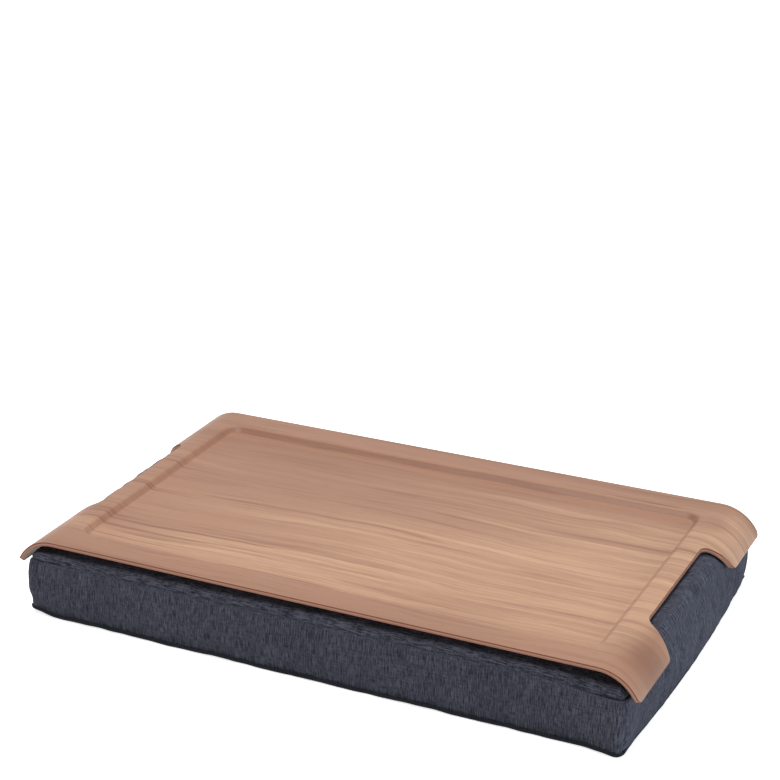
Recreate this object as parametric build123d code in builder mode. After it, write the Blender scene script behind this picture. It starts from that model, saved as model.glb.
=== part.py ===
from build123d import *
import os
from math import asin, cos, degrees, radians, sin, sqrt, tan

# Lap tray with a cushion. Millimetres, +X along the tray, +Y to its back, +Z up.
# The origin is the middle of the cushion's flat underside, on the surface it stands on.

# Tray: one bent and pressed sheet of plywood
tray_length = 540.0
tray_width = 310.0
face_veneer_thickness = 0.5
cross_ply_thickness = 0.7
core_ply_thickness = 1.0
bend_inner_radius = 33.1
bend_angle = 68.0
rim_width = 27.5
rim_end_flat = 7.5
recess_depth = 5.0
recess_wall_angle = 45.0
recess_corner_radius = 14.0
recess_lip_radius = 2.6
recess_floor_radius = 4.0
wall_room_share = 0.9

# Hand notches, and the horns on both sides of each
notch_reach = 24.6
notch_inner_width = 140.0
notch_mouth_width = 169.0
notch_corner_radius = 11.0
horn_inner_radius = 6.0
horn_outer_radius = 5.0

# Cushion: a boxed cover round a bag of beads, with its top pressed in by the tray
seam_height = 49.5
crown_rise = 12.4
side_overhang = 3.0
side_belly = 1.5
side_shoulder_run = 26.0
end_lean = 0.5
end_bow = 6.0
end_belly = 3.0
plan_corner_radius = 18.0
plan_corner_ease = 0.4
cover_thickness = 0.8
liner_thickness = 0.4
piping_radius = 1.75
piping_floor_gap = 0.25
piping_flat = 0.4
piping_end_gap = 0.9
piping_side_gap = 0.45
piping_corner_radius = 9.6

# Room between the tray and the cushion
lip_gap = 2.2
bend_gap = 2.2

# Hook strips under the tray, loop strips on the cushion
strip_width = 25.0
strip_length = 200.0
strip_thickness = 1.0
strip_spacing = 300.0
strip_gap = 0.3

# Zip along the back of the cover
zip_length = 440.0
zip_tape_width = 12.0
zip_tape_thickness = 0.5
zip_tape_gap = 0.6
coil_width = 2.2
coil_thickness = 1.6
coil_gap = 0.2
stop_length = 2.4
stop_height = 2.0
slider_length = 11.0
slider_wing_width = 9.0
slider_wing_thickness = 1.0
slider_flange = 0.9
slider_running_gap = 0.3
slider_corner_radius = 2.0
arch_length = 5.0
arch_width = 2.4
arch_wall = 0.9
pull_bar_radius = 0.9
pull_bar_play = 0.05
pull_arm_radius = 1.1
pull_arm_width = 1.4
pull_arm_length = 6.0
pull_length = 24.0
pull_width = 7.0
pull_thickness = 1.2
pull_hole_radius = 1.3
pull_corner_radius = 2.5

# Cutting shapes run this far past what they cut
overrun = 5.0

# Tray sizes that follow from the ones above
ply_thickness = 2 * (face_veneer_thickness + cross_ply_thickness) + core_ply_thickness
bend_outer_radius = bend_inner_radius + ply_thickness
bend_start = tray_length / 2 - bend_outer_radius * sin(radians(bend_angle))
recess_half_length = bend_start - rim_end_flat
recess_half_width = tray_width / 2 - rim_width
wall_corner_share = tan(radians(recess_wall_angle) / 2)
wall_length = recess_depth / sin(radians(recess_wall_angle))

# Heights above the surface that the cushion stands on
plateau_height = seam_height + crown_rise
tray_underside = plateau_height + lip_gap
tray_top = tray_underside + ply_thickness
bend_centre_height = tray_underside - bend_inner_radius
hook_top = tray_underside - recess_depth
loop_top = hook_top - strip_thickness - strip_gap
dent_floor = loop_top - strip_thickness

# Cushion sizes that follow: its end shoulders run round the bends of the tray
half_width = tray_width / 2 + side_overhang
end_shoulder_radius = bend_inner_radius - bend_gap
seam_above_centre = seam_height - bend_centre_height
half_length_top = bend_start + sqrt(end_shoulder_radius**2 - seam_above_centre**2)
half_length_base = half_length_top - end_lean

# Zip sizes that follow
zip_height = seam_height / 2
tape_face = half_width + side_belly - cover_thickness
coil_half_height = coil_gap / 2 + coil_width
flange_inner = coil_half_height + slider_running_gap
flange_outer = flange_inner + slider_flange
zip_slot_half_height = flange_outer + slider_running_gap
coil_face = tape_face + coil_thickness
wing_inner_face = coil_face + slider_running_gap
wing_face = wing_inner_face + slider_wing_thickness
pull_axis_reach = wing_face + slider_running_gap + pull_arm_radius
arch_bore_radius = pull_bar_radius + pull_bar_play
arch_top = pull_axis_reach + arch_bore_radius + arch_wall
slider_place = zip_length / 2 - stop_length - slider_running_gap - slider_length / 2


# The solid under the tray's face, or under a face that lies that deep in the sheet.
# It has the bends at both ends and the pressed recess, and ends at the bends' centre line.
def solid_under(depth):
    face = tray_top - depth
    radius = bend_outer_radius - depth
    tip_x = bend_start + radius * sin(radians(bend_angle))
    tip_z = bend_centre_height + radius * cos(radians(bend_angle))
    middle_x = bend_start + radius * sin(radians(bend_angle / 2))
    middle_z = bend_centre_height + radius * cos(radians(bend_angle / 2))
    grown = wall_corner_share * depth
    corner_room = wall_room_share * wall_length / wall_corner_share
    lip = recess_lip_radius + ply_thickness - depth
    floor = recess_floor_radius + depth
    fit_share = min(1, corner_room / (lip + floor))
    with BuildPart() as body:
        with BuildSketch(Plane.XZ):
            with BuildLine():
                Line((-bend_start, face), (bend_start, face))
                ThreePointArc((bend_start, face), (middle_x, middle_z), (tip_x, tip_z))
                Polyline(
                    (tip_x, tip_z),
                    (bend_start, bend_centre_height),
                    (-bend_start, bend_centre_height),
                    (-tip_x, tip_z),
                )
                ThreePointArc((-tip_x, tip_z), (-middle_x, middle_z), (-bend_start, face))
            make_face()
        extrude(amount=tray_width / 2, both=True)
        with BuildSketch(Plane.XY.offset(face)):
            RectangleRounded(
                2 * (recess_half_length + grown),
                2 * (recess_half_width + grown),
                recess_corner_radius + grown,
            )
        extrude(amount=-recess_depth, taper=recess_wall_angle, mode=Mode.SUBTRACT)
        recess_floor = body.faces().filter_by(Axis.Z).sort_by(Axis.Z)[-2]
        recess_lip = body.faces().filter_by(Axis.Z).sort_by(Axis.Z)[-1].inner_wires()[0]
        fillet(recess_floor.outer_wire().edges(), fit_share * floor)
        fillet(recess_lip.edges(), fit_share * lip)
    return body.part


# What is cut from both ends of the sheet: the hand notches and the corners of the horns
notch_edge = tray_length / 2 - notch_reach
notch_start_angle = degrees(asin((notch_edge - bend_start) / bend_outer_radius))
notch_side_angle = radians((notch_start_angle + bend_angle) / 2)
notch_side_x = bend_start + bend_outer_radius * sin(notch_side_angle)
notch_side_y = (notch_inner_width + notch_mouth_width) / 4
mouth_half_width = notch_mouth_width / 2
tip_plane = Plane(
    origin=(
        tray_length / 2,
        0,
        bend_centre_height + bend_outer_radius * cos(radians(bend_angle)),
    ),
    x_dir=(0, 1, 0),
    z_dir=(sin(radians(bend_angle)), 0, cos(radians(bend_angle))),
)
# The side of a notch leans by this much where it meets the tip
side_lean = degrees(
    asin(
        (notch_mouth_width - notch_inner_width)
        / 2
        / (bend_outer_radius * radians(bend_angle - notch_start_angle))
    )
)
inner_corner_run = horn_inner_radius * tan(radians(90 - side_lean) / 2)

with BuildPart() as end_trim:
    with BuildSketch(Plane.XY) as notch:
        with BuildLine():
            Line((notch_edge, -notch_inner_width / 2), (notch_edge, notch_inner_width / 2))
            ThreePointArc(
                (notch_edge, notch_inner_width / 2),
                (notch_side_x, notch_side_y),
                (tray_length / 2, mouth_half_width),
            )
            Polyline(
                (tray_length / 2, mouth_half_width),
                (tray_length / 2 + overrun, mouth_half_width),
                (tray_length / 2 + overrun, -mouth_half_width),
                (tray_length / 2, -mouth_half_width),
            )
            ThreePointArc(
                (tray_length / 2, -mouth_half_width),
                (notch_side_x, -notch_side_y),
                (notch_edge, -notch_inner_width / 2),
            )
        make_face()
        fillet(notch.vertices().group_by(Axis.X)[0], notch_corner_radius)
    extrude(amount=tray_top + overrun)
    with BuildSketch(tip_plane):
        for side in (-1, 1):
            corner = side * tray_width / 2
            arc_middle = horn_outer_radius * (1 - sin(radians(45)))
            with BuildLine():
                ThreePointArc(
                    (corner - side * horn_outer_radius, 0),
                    (corner - side * arc_middle, arc_middle),
                    (corner, horn_outer_radius),
                )
                Polyline(
                    (corner, horn_outer_radius),
                    (corner + side * overrun, horn_outer_radius),
                    (corner + side * overrun, -overrun),
                    (corner - side * horn_outer_radius, -overrun),
                    (corner - side * horn_outer_radius, 0),
                )
            make_face()
        for side in (-1, 1):
            corner = side * mouth_half_width
            lean = radians(side_lean)
            run = inner_corner_run
            up = (corner - side * run * sin(lean), run * cos(lean))
            with BuildLine():
                TangentArc(
                    (corner + side * run, 0), up, tangent=(-side, 0)
                )
                Polyline(
                    up,
                    (corner - side * overrun, run * cos(lean)),
                    (corner - side * overrun, -overrun),
                    (corner + side * run, -overrun),
                    (corner + side * run, 0),
                )
            make_face()
    extrude(amount=ply_thickness + overrun, both=True)
    mirror(about=Plane.YZ)

# Plies, from the face down
upper_cross_depth = face_veneer_thickness
core_depth = upper_cross_depth + cross_ply_thickness
lower_cross_depth = core_depth + core_ply_thickness
back_veneer_depth = lower_cross_depth + cross_ply_thickness
under_face = solid_under(0)
under_upper_cross = solid_under(upper_cross_depth)
under_core = solid_under(core_depth)
under_lower_cross = solid_under(lower_cross_depth)
under_back_veneer = solid_under(back_veneer_depth)
under_sheet = solid_under(ply_thickness)

with BuildPart() as face_veneer:
    add(under_face)
    add(under_upper_cross, mode=Mode.SUBTRACT)
    add(end_trim.part, mode=Mode.SUBTRACT)

with BuildPart() as upper_cross_ply:
    add(under_upper_cross)
    add(under_core, mode=Mode.SUBTRACT)
    add(end_trim.part, mode=Mode.SUBTRACT)

with BuildPart() as core_ply:
    add(under_core)
    add(under_lower_cross, mode=Mode.SUBTRACT)
    add(end_trim.part, mode=Mode.SUBTRACT)

with BuildPart() as lower_cross_ply:
    add(under_lower_cross)
    add(under_back_veneer, mode=Mode.SUBTRACT)
    add(end_trim.part, mode=Mode.SUBTRACT)

with BuildPart() as back_veneer:
    add(under_back_veneer)
    add(under_sheet, mode=Mode.SUBTRACT)
    add(end_trim.part, mode=Mode.SUBTRACT)


# The cushion seen from above: straight sides, bowed ends and round corners
def plan_outline(half_x, half_y, corner_radius):
    with BuildSketch(Plane.XY) as plan:
        with BuildLine():
            Line((-half_x, -half_y), (half_x, -half_y))
            ThreePointArc((half_x, -half_y), (half_x + end_bow, 0), (half_x, half_y))
            Line((half_x, half_y), (-half_x, half_y))
            ThreePointArc((-half_x, half_y), (-half_x - end_bow, 0), (-half_x, -half_y))
        make_face()
        fillet(plan.vertices(), corner_radius)
    return plan.sketch


# The stuffed cushion, or a shape that lies inside its surface by the inset
def cushion_form(inset):
    seam = seam_height - inset
    plateau = plateau_height - inset
    side = half_width - inset
    top = half_length_top - inset
    shoulder_radius = end_shoulder_radius - inset
    shoulder_angle = asin((top - bend_start) / shoulder_radius) / 2
    shoulder_x = bend_start + shoulder_radius * sin(shoulder_angle)
    shoulder_z = bend_centre_height + shoulder_radius * cos(shoulder_angle)
    crown = bend_centre_height + shoulder_radius
    seam_z = bend_centre_height + shoulder_radius * cos(2 * shoulder_angle)
    lid = crown + overrun
    middle = (inset + seam) / 2

    # The ends: bowed out at the base, and rounded over at the top
    with BuildPart() as ends:
        for place_share in (-1, 0, 1):
            across = place_share * (half_width + overrun)
            bow = end_bow * (1 - (across / half_width) ** 2)
            base = half_length_base - inset + bow
            belly = (base + top) / 2 + end_belly
            with BuildSketch(Plane.XZ.offset(-across)):
                with BuildLine():
                    Line((-base, inset), (base, inset))
                    ThreePointArc((base, inset), (belly, middle), (top, seam_z))
                    ThreePointArc((top, seam_z), (shoulder_x, shoulder_z), (bend_start, crown))
                    Polyline(
                        (bend_start, crown), (bend_start, lid), (-bend_start, lid), (-bend_start, crown)
                    )
                    ThreePointArc((-bend_start, crown), (-shoulder_x, shoulder_z), (-top, seam_z))
                    ThreePointArc((-top, seam_z), (-belly, middle), (-base, inset))
                make_face()
        loft()

    # The sides: straight along the tray, with a full shoulder and a slight belly
    with BuildPart() as form:
        with BuildSketch(Plane.YZ):
            with BuildLine():
                Line((-side, inset), (side, inset))
                ThreePointArc((side, inset), (side + side_belly, middle), (side, seam))
                TangentArc((side - side_shoulder_run, plateau), (side, seam), tangent=(1, 0))
                Line((side - side_shoulder_run, plateau), (side_shoulder_run - side, plateau))
                TangentArc((side_shoulder_run - side, plateau), (-side, seam), tangent=(-1, 0))
                ThreePointArc((-side, seam), (-side - side_belly, middle), (-side, inset))
            make_face()
        extrude(amount=tray_length / 2 + overrun, both=True)
        add(ends.part, mode=Mode.INTERSECT)
        add(
            plan_outline(
                half_length_top + end_belly + plan_corner_ease - inset,
                half_width + side_belly + plan_corner_ease - inset,
                plan_corner_radius - inset,
            )
        )
        extrude(amount=lid, mode=Mode.INTERSECT)
        # The top is pressed in by the underside of the recess
        grown = wall_corner_share * (ply_thickness + lip_gap) + inset
        with BuildSketch(Plane.XY.offset(plateau)):
            RectangleRounded(
                2 * (recess_half_length + grown),
                2 * (recess_half_width + grown),
                recess_corner_radius + grown,
            )
        extrude(
            amount=dent_floor - plateau_height, taper=recess_wall_angle, mode=Mode.SUBTRACT
        )
    return form.part


tape_depth = cover_thickness + zip_tape_thickness
cover_outside = cushion_form(0)
cover_inside = cushion_form(cover_thickness)
tape_inside = cushion_form(tape_depth)
liner_inside = cushion_form(tape_depth + liner_thickness)

with BuildPart() as cover_shell:
    add(cover_outside)
    add(cover_inside, mode=Mode.SUBTRACT)

boxing_base = cover_thickness
boxing_top = seam_height - cover_thickness
boxing_height = boxing_top - boxing_base
outer_x = tray_length / 2 + overrun
outer_y = half_width + side_belly + overrun
corner_x = half_length_top - plan_corner_radius
corner_y = half_width - plan_corner_radius

with BuildPart() as top_panel:
    add(cover_shell.part)
    with BuildSketch(Plane.XY.offset(boxing_top)):
        Rectangle(2 * outer_x, 2 * outer_y)
    extrude(amount=plateau_height, mode=Mode.INTERSECT)

with BuildPart() as bottom_panel:
    add(cover_shell.part)
    with BuildSketch(Plane.XY):
        Rectangle(2 * outer_x, 2 * outer_y)
    extrude(amount=boxing_base, mode=Mode.INTERSECT)

# Boxing panels meet at the cushion's four upright corner seams
with BuildPart() as boxing_front:
    add(cover_shell.part)
    with BuildSketch(Plane.XY.offset(boxing_base)):
        Polygon(
            (-outer_x, -outer_y),
            (outer_x, -outer_y),
            (corner_x, -corner_y),
            (-corner_x, -corner_y),
            align=None,
        )
    extrude(amount=boxing_height, mode=Mode.INTERSECT)

with BuildPart() as boxing_right:
    add(cover_shell.part)
    with BuildSketch(Plane.XY.offset(boxing_base)):
        Polygon(
            (outer_x, -outer_y),
            (outer_x, outer_y),
            (corner_x, corner_y),
            (corner_x, -corner_y),
            align=None,
        )
    extrude(amount=boxing_height, mode=Mode.INTERSECT)

with BuildPart() as boxing_left:
    add(cover_shell.part)
    with BuildSketch(Plane.XY.offset(boxing_base)):
        Polygon(
            (-outer_x, -outer_y),
            (-corner_x, -corner_y),
            (-corner_x, corner_y),
            (-outer_x, outer_y),
            align=None,
        )
    extrude(amount=boxing_height, mode=Mode.INTERSECT)

with BuildPart() as boxing_back_right:
    add(cover_shell.part)
    with BuildSketch(Plane.XY.offset(boxing_base)):
        Polygon(
            (zip_length / 2, outer_y),
            (zip_length / 2, corner_y),
            (corner_x, corner_y),
            (outer_x, outer_y),
            align=None,
        )
    extrude(amount=boxing_height, mode=Mode.INTERSECT)

with BuildPart() as boxing_back_left:
    add(cover_shell.part)
    with BuildSketch(Plane.XY.offset(boxing_base)):
        Polygon(
            (-zip_length / 2, outer_y),
            (-outer_x, outer_y),
            (-corner_x, corner_y),
            (-zip_length / 2, corner_y),
            align=None,
        )
    extrude(amount=boxing_height, mode=Mode.INTERSECT)


# A flat stretch of the back, from one height to another, cut out of a shell
def back_stretch(shell, half_span, low, high):
    with BuildPart() as stretch:
        add(shell)
        with BuildSketch(Plane.XZ.offset(-corner_y)):
            with Locations((0, (low + high) / 2)):
                Rectangle(2 * half_span, high - low)
        extrude(amount=corner_y - outer_y, mode=Mode.INTERSECT)
    return stretch.part


slot_low = zip_height - zip_slot_half_height
slot_high = zip_height + zip_slot_half_height

with BuildPart() as zip_facing_lower:
    add(back_stretch(cover_shell.part, zip_length / 2, boxing_base, slot_low))

with BuildPart() as zip_facing_upper:
    add(back_stretch(cover_shell.part, zip_length / 2, slot_high, boxing_top))

# Zip tapes lie behind the facings and reach a little past both ends of the slot
with BuildPart() as tape_shell:
    add(cover_inside)
    add(tape_inside, mode=Mode.SUBTRACT)

tape_half_length = zip_length / 2 + stop_length
tape_near = zip_tape_gap / 2

with BuildPart() as zip_tape_lower:
    add(
        back_stretch(
            tape_shell.part, tape_half_length, zip_height - zip_tape_width, zip_height - tape_near
        )
    )

with BuildPart() as zip_tape_upper:
    add(
        back_stretch(
            tape_shell.part, tape_half_length, zip_height + tape_near, zip_height + zip_tape_width
        )
    )

# Coils of the zip, as one plain strip on the edge of each tape
coil_length = zip_length - 2 * stop_length
coil_middle = (coil_gap + coil_width) / 2

with BuildPart() as zip_coil_lower:
    with BuildSketch(Plane.XZ.offset(-tape_face)):
        with Locations((0, zip_height - coil_middle)):
            Rectangle(coil_length, coil_width)
    extrude(amount=-coil_thickness)

with BuildPart() as zip_coil_upper:
    with BuildSketch(Plane.XZ.offset(-tape_face)):
        with Locations((0, zip_height + coil_middle)):
            Rectangle(coil_length, coil_width)
    extrude(amount=-coil_thickness)

# One stop at each end of the zip
with BuildPart() as zip_stops:
    with BuildSketch(Plane.XZ.offset(-tape_face)):
        for side in (-1, 1):
            with Locations((side * (zip_length - stop_length) / 2, zip_height)):
                Rectangle(stop_length, 2 * coil_half_height)
    extrude(amount=-stop_height)

# Slider: a wing over the coils, a flange on both sides of them and an arch for the pull
with BuildPart() as zip_slider:
    with BuildSketch(Plane.XZ.offset(-wing_inner_face)):
        with Locations((slider_place, zip_height)):
            RectangleRounded(slider_length, slider_wing_width, slider_corner_radius)
    extrude(amount=-slider_wing_thickness)
    with BuildSketch(Plane.XZ.offset(-wing_inner_face)):
        for side in (-1, 1):
            with Locations((slider_place, zip_height + side * (flange_inner + flange_outer) / 2)):
                Rectangle(slider_length - 2 * slider_corner_radius, slider_flange)
    extrude(amount=coil_thickness)
    with BuildSketch(Plane.XY.offset(zip_height)):
        with Locations((slider_place, (wing_face + arch_top) / 2)):
            Rectangle(arch_length, arch_top - wing_face)
        with Locations((slider_place, pull_axis_reach)):
            Circle(arch_bore_radius, mode=Mode.SUBTRACT)
    extrude(amount=arch_width / 2, both=True)
    arch_corners = zip_slider.edges().filter_by(Axis.Z).group_by(Axis.Y)[-1]
    fillet(arch_corners, arch_wall)

# Pull: a bar through the arch, two arms and a tab that lies along the zip
pull_arm_middle = arch_width / 2 + slider_running_gap + pull_arm_width / 2
pull_arm_reach = pull_arm_length + pull_corner_radius

with BuildPart() as zip_pull:
    with BuildSketch(Plane.XY.offset(zip_height)):
        with Locations((slider_place, pull_axis_reach)):
            Circle(pull_bar_radius)
    extrude(amount=pull_arm_middle, both=True)
    for side in (-1, 1):
        with BuildSketch(Plane.XY.offset(zip_height + side * pull_arm_middle)):
            with Locations((slider_place, pull_axis_reach)):
                Circle(pull_arm_radius)
            with Locations((slider_place - pull_arm_reach / 2, pull_axis_reach)):
                Rectangle(pull_arm_reach, pull_thickness)
        extrude(amount=pull_arm_width / 2, both=True)
    with BuildSketch(Plane.XZ.offset(-pull_axis_reach)):
        with Locations((slider_place - (pull_arm_length + pull_length) / 2, zip_height)):
            RectangleRounded(pull_length - pull_arm_length, pull_width, pull_corner_radius)
        with Locations((slider_place - pull_length + pull_width / 2, zip_height)):
            Circle(pull_hole_radius, mode=Mode.SUBTRACT)
    extrude(amount=pull_thickness / 2, both=True)

# Piping round the bottom seam, with a flat where it is sewn to the cover
piping_reach = piping_radius - piping_flat
piping_half_width = half_width + piping_side_gap + piping_reach
piping_height = piping_radius + piping_floor_gap

with BuildPart() as bottom_piping:
    piping_path = plan_outline(
        half_length_base + piping_end_gap + piping_reach, piping_half_width, piping_corner_radius
    ).wire()
    with BuildLine():
        add(piping_path.moved(Location((0, 0, piping_height))))
    with BuildSketch(
        Plane(origin=(0, -piping_half_width, piping_height), x_dir=(0, 1, 0), z_dir=(1, 0, 0))
    ):
        Circle(piping_radius)
        with Locations((piping_radius, 0)):
            Rectangle(2 * piping_flat, 2 * piping_radius, mode=Mode.SUBTRACT)
    sweep()

# Liner bag and the beads in it
with BuildPart() as inner_liner:
    add(tape_inside)
    add(liner_inside, mode=Mode.SUBTRACT)

with BuildPart() as bead_fill:
    add(liner_inside)


# One strip of hook or loop, flat, with its upper face at the given height
def strip(side, height):
    with BuildPart() as piece:
        with BuildSketch(Plane.XY.offset(height)):
            with Locations((side * strip_spacing / 2, 0)):
                Rectangle(strip_width, strip_length)
        extrude(amount=-strip_thickness)
    return piece.part


with BuildPart() as hook_strip_left:
    add(strip(-1, hook_top))

with BuildPart() as hook_strip_right:
    add(strip(1, hook_top))

with BuildPart() as loop_strip_left:
    add(strip(-1, loop_top))

with BuildPart() as loop_strip_right:
    add(strip(1, loop_top))

face_veneer.part.label = "face_veneer"
upper_cross_ply.part.label = "upper_cross_ply"
core_ply.part.label = "core_ply"
lower_cross_ply.part.label = "lower_cross_ply"
back_veneer.part.label = "back_veneer"
hook_strip_left.part.label = "hook_strip_left"
hook_strip_right.part.label = "hook_strip_right"
loop_strip_left.part.label = "loop_strip_left"
loop_strip_right.part.label = "loop_strip_right"
top_panel.part.label = "top_panel"
bottom_panel.part.label = "bottom_panel"
boxing_front.part.label = "boxing_front"
boxing_right.part.label = "boxing_right"
boxing_left.part.label = "boxing_left"
boxing_back_right.part.label = "boxing_back_right"
boxing_back_left.part.label = "boxing_back_left"
bottom_piping.part.label = "bottom_piping"
zip_facing_lower.part.label = "zip_facing_lower"
zip_facing_upper.part.label = "zip_facing_upper"
zip_tape_lower.part.label = "zip_tape_lower"
zip_tape_upper.part.label = "zip_tape_upper"
zip_coil_lower.part.label = "zip_coil_lower"
zip_coil_upper.part.label = "zip_coil_upper"
zip_stops.part.label = "zip_stops"
zip_slider.part.label = "zip_slider"
zip_pull.part.label = "zip_pull"
inner_liner.part.label = "inner_liner"
bead_fill.part.label = "bead_fill"

os.makedirs("parts", exist_ok=True)
export_step(face_veneer.part, "parts/face_veneer.step")
export_step(upper_cross_ply.part, "parts/upper_cross_ply.step")
export_step(core_ply.part, "parts/core_ply.step")
export_step(lower_cross_ply.part, "parts/lower_cross_ply.step")
export_step(back_veneer.part, "parts/back_veneer.step")
export_step(hook_strip_left.part, "parts/hook_strip_left.step")
export_step(hook_strip_right.part, "parts/hook_strip_right.step")
export_step(loop_strip_left.part, "parts/loop_strip_left.step")
export_step(loop_strip_right.part, "parts/loop_strip_right.step")
export_step(top_panel.part, "parts/top_panel.step")
export_step(bottom_panel.part, "parts/bottom_panel.step")
export_step(boxing_front.part, "parts/boxing_front.step")
export_step(boxing_right.part, "parts/boxing_right.step")
export_step(boxing_left.part, "parts/boxing_left.step")
export_step(boxing_back_right.part, "parts/boxing_back_right.step")
export_step(boxing_back_left.part, "parts/boxing_back_left.step")
export_step(bottom_piping.part, "parts/bottom_piping.step")
export_step(zip_facing_lower.part, "parts/zip_facing_lower.step")
export_step(zip_facing_upper.part, "parts/zip_facing_upper.step")
export_step(zip_tape_lower.part, "parts/zip_tape_lower.step")
export_step(zip_tape_upper.part, "parts/zip_tape_upper.step")
export_step(zip_coil_lower.part, "parts/zip_coil_lower.step")
export_step(zip_coil_upper.part, "parts/zip_coil_upper.step")
export_step(zip_stops.part, "parts/zip_stops.step")
export_step(zip_slider.part, "parts/zip_slider.step")
export_step(zip_pull.part, "parts/zip_pull.step")
export_step(inner_liner.part, "parts/inner_liner.step")
export_step(bead_fill.part, "parts/bead_fill.step")
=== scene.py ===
import bpy
import bmesh
import math
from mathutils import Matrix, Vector, noise


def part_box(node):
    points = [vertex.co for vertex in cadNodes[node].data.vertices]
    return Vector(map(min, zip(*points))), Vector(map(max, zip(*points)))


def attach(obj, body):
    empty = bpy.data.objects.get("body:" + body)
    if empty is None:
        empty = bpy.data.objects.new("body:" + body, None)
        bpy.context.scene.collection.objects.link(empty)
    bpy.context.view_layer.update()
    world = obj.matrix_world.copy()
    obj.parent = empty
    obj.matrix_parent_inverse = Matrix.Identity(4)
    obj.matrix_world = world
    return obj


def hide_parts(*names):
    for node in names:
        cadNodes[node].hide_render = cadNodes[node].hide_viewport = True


# Lap tray with a cushion: walnut ply tray, padded cover, piping, zip, hook and loop strips.
# +X runs along the tray, +Y to its back, and the cushion stands on z = 0.

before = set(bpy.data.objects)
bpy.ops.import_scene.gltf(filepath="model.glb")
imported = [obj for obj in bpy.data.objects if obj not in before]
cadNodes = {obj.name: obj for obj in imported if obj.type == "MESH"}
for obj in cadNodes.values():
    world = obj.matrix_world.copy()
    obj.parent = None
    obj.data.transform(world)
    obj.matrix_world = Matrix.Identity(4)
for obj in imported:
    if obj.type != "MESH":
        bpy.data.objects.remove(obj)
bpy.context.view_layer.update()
scene = bpy.context.scene


# Small helpers for node trees and meshes

def addNode(tree, kind, inputs=None, **settings):
    node = tree.nodes.new(kind)
    for key, value in settings.items():
        setattr(node, key, value)
    for key, value in (inputs or {}).items():
        socket = node.inputs[key]
        if isinstance(value, bpy.types.NodeSocket):
            tree.links.new(value, socket)
        else:
            socket.default_value = value
    return node


def calc(tree, operation, *values):
    return addNode(tree, "ShaderNodeMath", dict(enumerate(values)), operation=operation).outputs[0]


def times(tree, first, second):
    return calc(tree, "MULTIPLY", first, second)


def plus(tree, first, second):
    return calc(tree, "ADD", first, second)


def joinXYZ(tree, x, y, z=0.0):
    return addNode(tree, "ShaderNodeCombineXYZ", {"X": x, "Y": y, "Z": z}).outputs[0]


def noiseAt(tree, vector, detail=2.0, roughness=0.5):
    return addNode(tree, "ShaderNodeTexNoise",
                   {"Vector": vector, "Scale": 1.0, "Detail": detail, "Roughness": roughness,
                    "Distortion": 0.0}).outputs["Fac"]


def stretch(tree, value, low, high, toLow=0.0, toHigh=1.0):
    return addNode(tree, "ShaderNodeMapRange",
                   {"Value": value, "From Min": low, "From Max": high,
                    "To Min": toLow, "To Max": toHigh},
                   interpolation_type="SMOOTHSTEP").outputs["Result"]


def blendColour(tree, factor, first, second, mode="MIX"):
    return addNode(tree, "ShaderNodeMix", {0: factor, 6: first, 7: second},
                   data_type="RGBA", blend_type=mode).outputs[2]


def newGroup(name, kind, inputs, outputs):
    group = bpy.data.node_groups.new(name, kind)
    for label, socketType, value in inputs:
        socket = group.interface.new_socket(label, in_out="INPUT", socket_type=socketType)
        if value is not None:
            socket.default_value = value
    for label, socketType in outputs:
        group.interface.new_socket(label, in_out="OUTPUT", socket_type=socketType)
    return group, group.nodes.new("NodeGroupInput"), group.nodes.new("NodeGroupOutput")


def placeGroup(tree, group, inputs):
    return addNode(tree, "ShaderNodeGroup", inputs, node_tree=group)


def newMaterial(name, **settings):
    material = bpy.data.materials.new(name)
    material.use_nodes = True
    shader = material.node_tree.nodes["Principled BSDF"]
    for label, value in settings.items():
        shader.inputs[label.replace("_", " ")].default_value = value
    return material, material.node_tree, shader


def addBump(tree, shader, height, strength, distance):
    bump = addNode(tree, "ShaderNodeBump",
                   {"Height": height, "Strength": strength, "Distance": distance})
    tree.links.new(bump.outputs[0], shader.inputs["Normal"])


def rgb(hexCode):
    parts = [int(hexCode[i:i + 2], 16) / 255 for i in (0, 2, 4)]
    linear = [p / 12.92 if p <= 0.04045 else ((p + 0.055) / 1.055) ** 2.4 for p in parts]
    return (*linear, 1.0)


def linked(name, data):
    made = bpy.data.objects.new(name, data)
    scene.collection.objects.link(made)
    return made


def newPiece(name, points, faces, material, smooth=True):
    mesh = bpy.data.meshes.new(name)
    mesh.from_pydata([tuple(p) for p in points], [], faces)
    mesh.materials.append(material)
    mesh.validate()
    mesh.polygons.foreach_set("use_smooth", [smooth] * len(mesh.polygons))
    return linked(name, mesh)


def applyAll(piece):
    bpy.context.view_layer.update()
    graph = bpy.context.evaluated_depsgraph_get()
    mesh = bpy.data.meshes.new_from_object(piece.evaluated_get(graph))
    piece.modifiers.clear()
    piece.data = mesh
    piece.data.name = piece.name


def refine(piece):
    finer = piece.modifiers.new("finer", "SUBSURF")
    finer.levels = finer.render_levels = 1
    applyAll(piece)


# Camera, light and floor

camera = {
    "place": (0.6515, -1.3755, 0.7926),
    "looking": (-0.3993, 0.8389, -0.3698),
    "lens": 93.05,
    "clip": (0.05, 50),
}

lights = {
    "overhead": {"place": (-0.05, 0.35, 2.0), "aim": (0, 0, 0), "size": 1.5, "power": 17,
                 "colour": (1, 1, 1)},
    "rightSide": {"place": (2.2, -0.2, 0.5), "aim": (0, 0, 0.03), "size": 1.0, "power": 22.5,
                  "colour": (0.78, 0.9, 1)},
    "frontFill": {"place": (-0.3, -0.98, 2.05), "aim": (0, 0, 0.03), "size": 0.8, "power": 30,
                  "colour": (1, 1, 1)},
}
worldLight = 0.13
floorSettings = {"half": 9.0, "drop": 0.0002, "colour": "f4f4f4", "white": 0.8}


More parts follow.
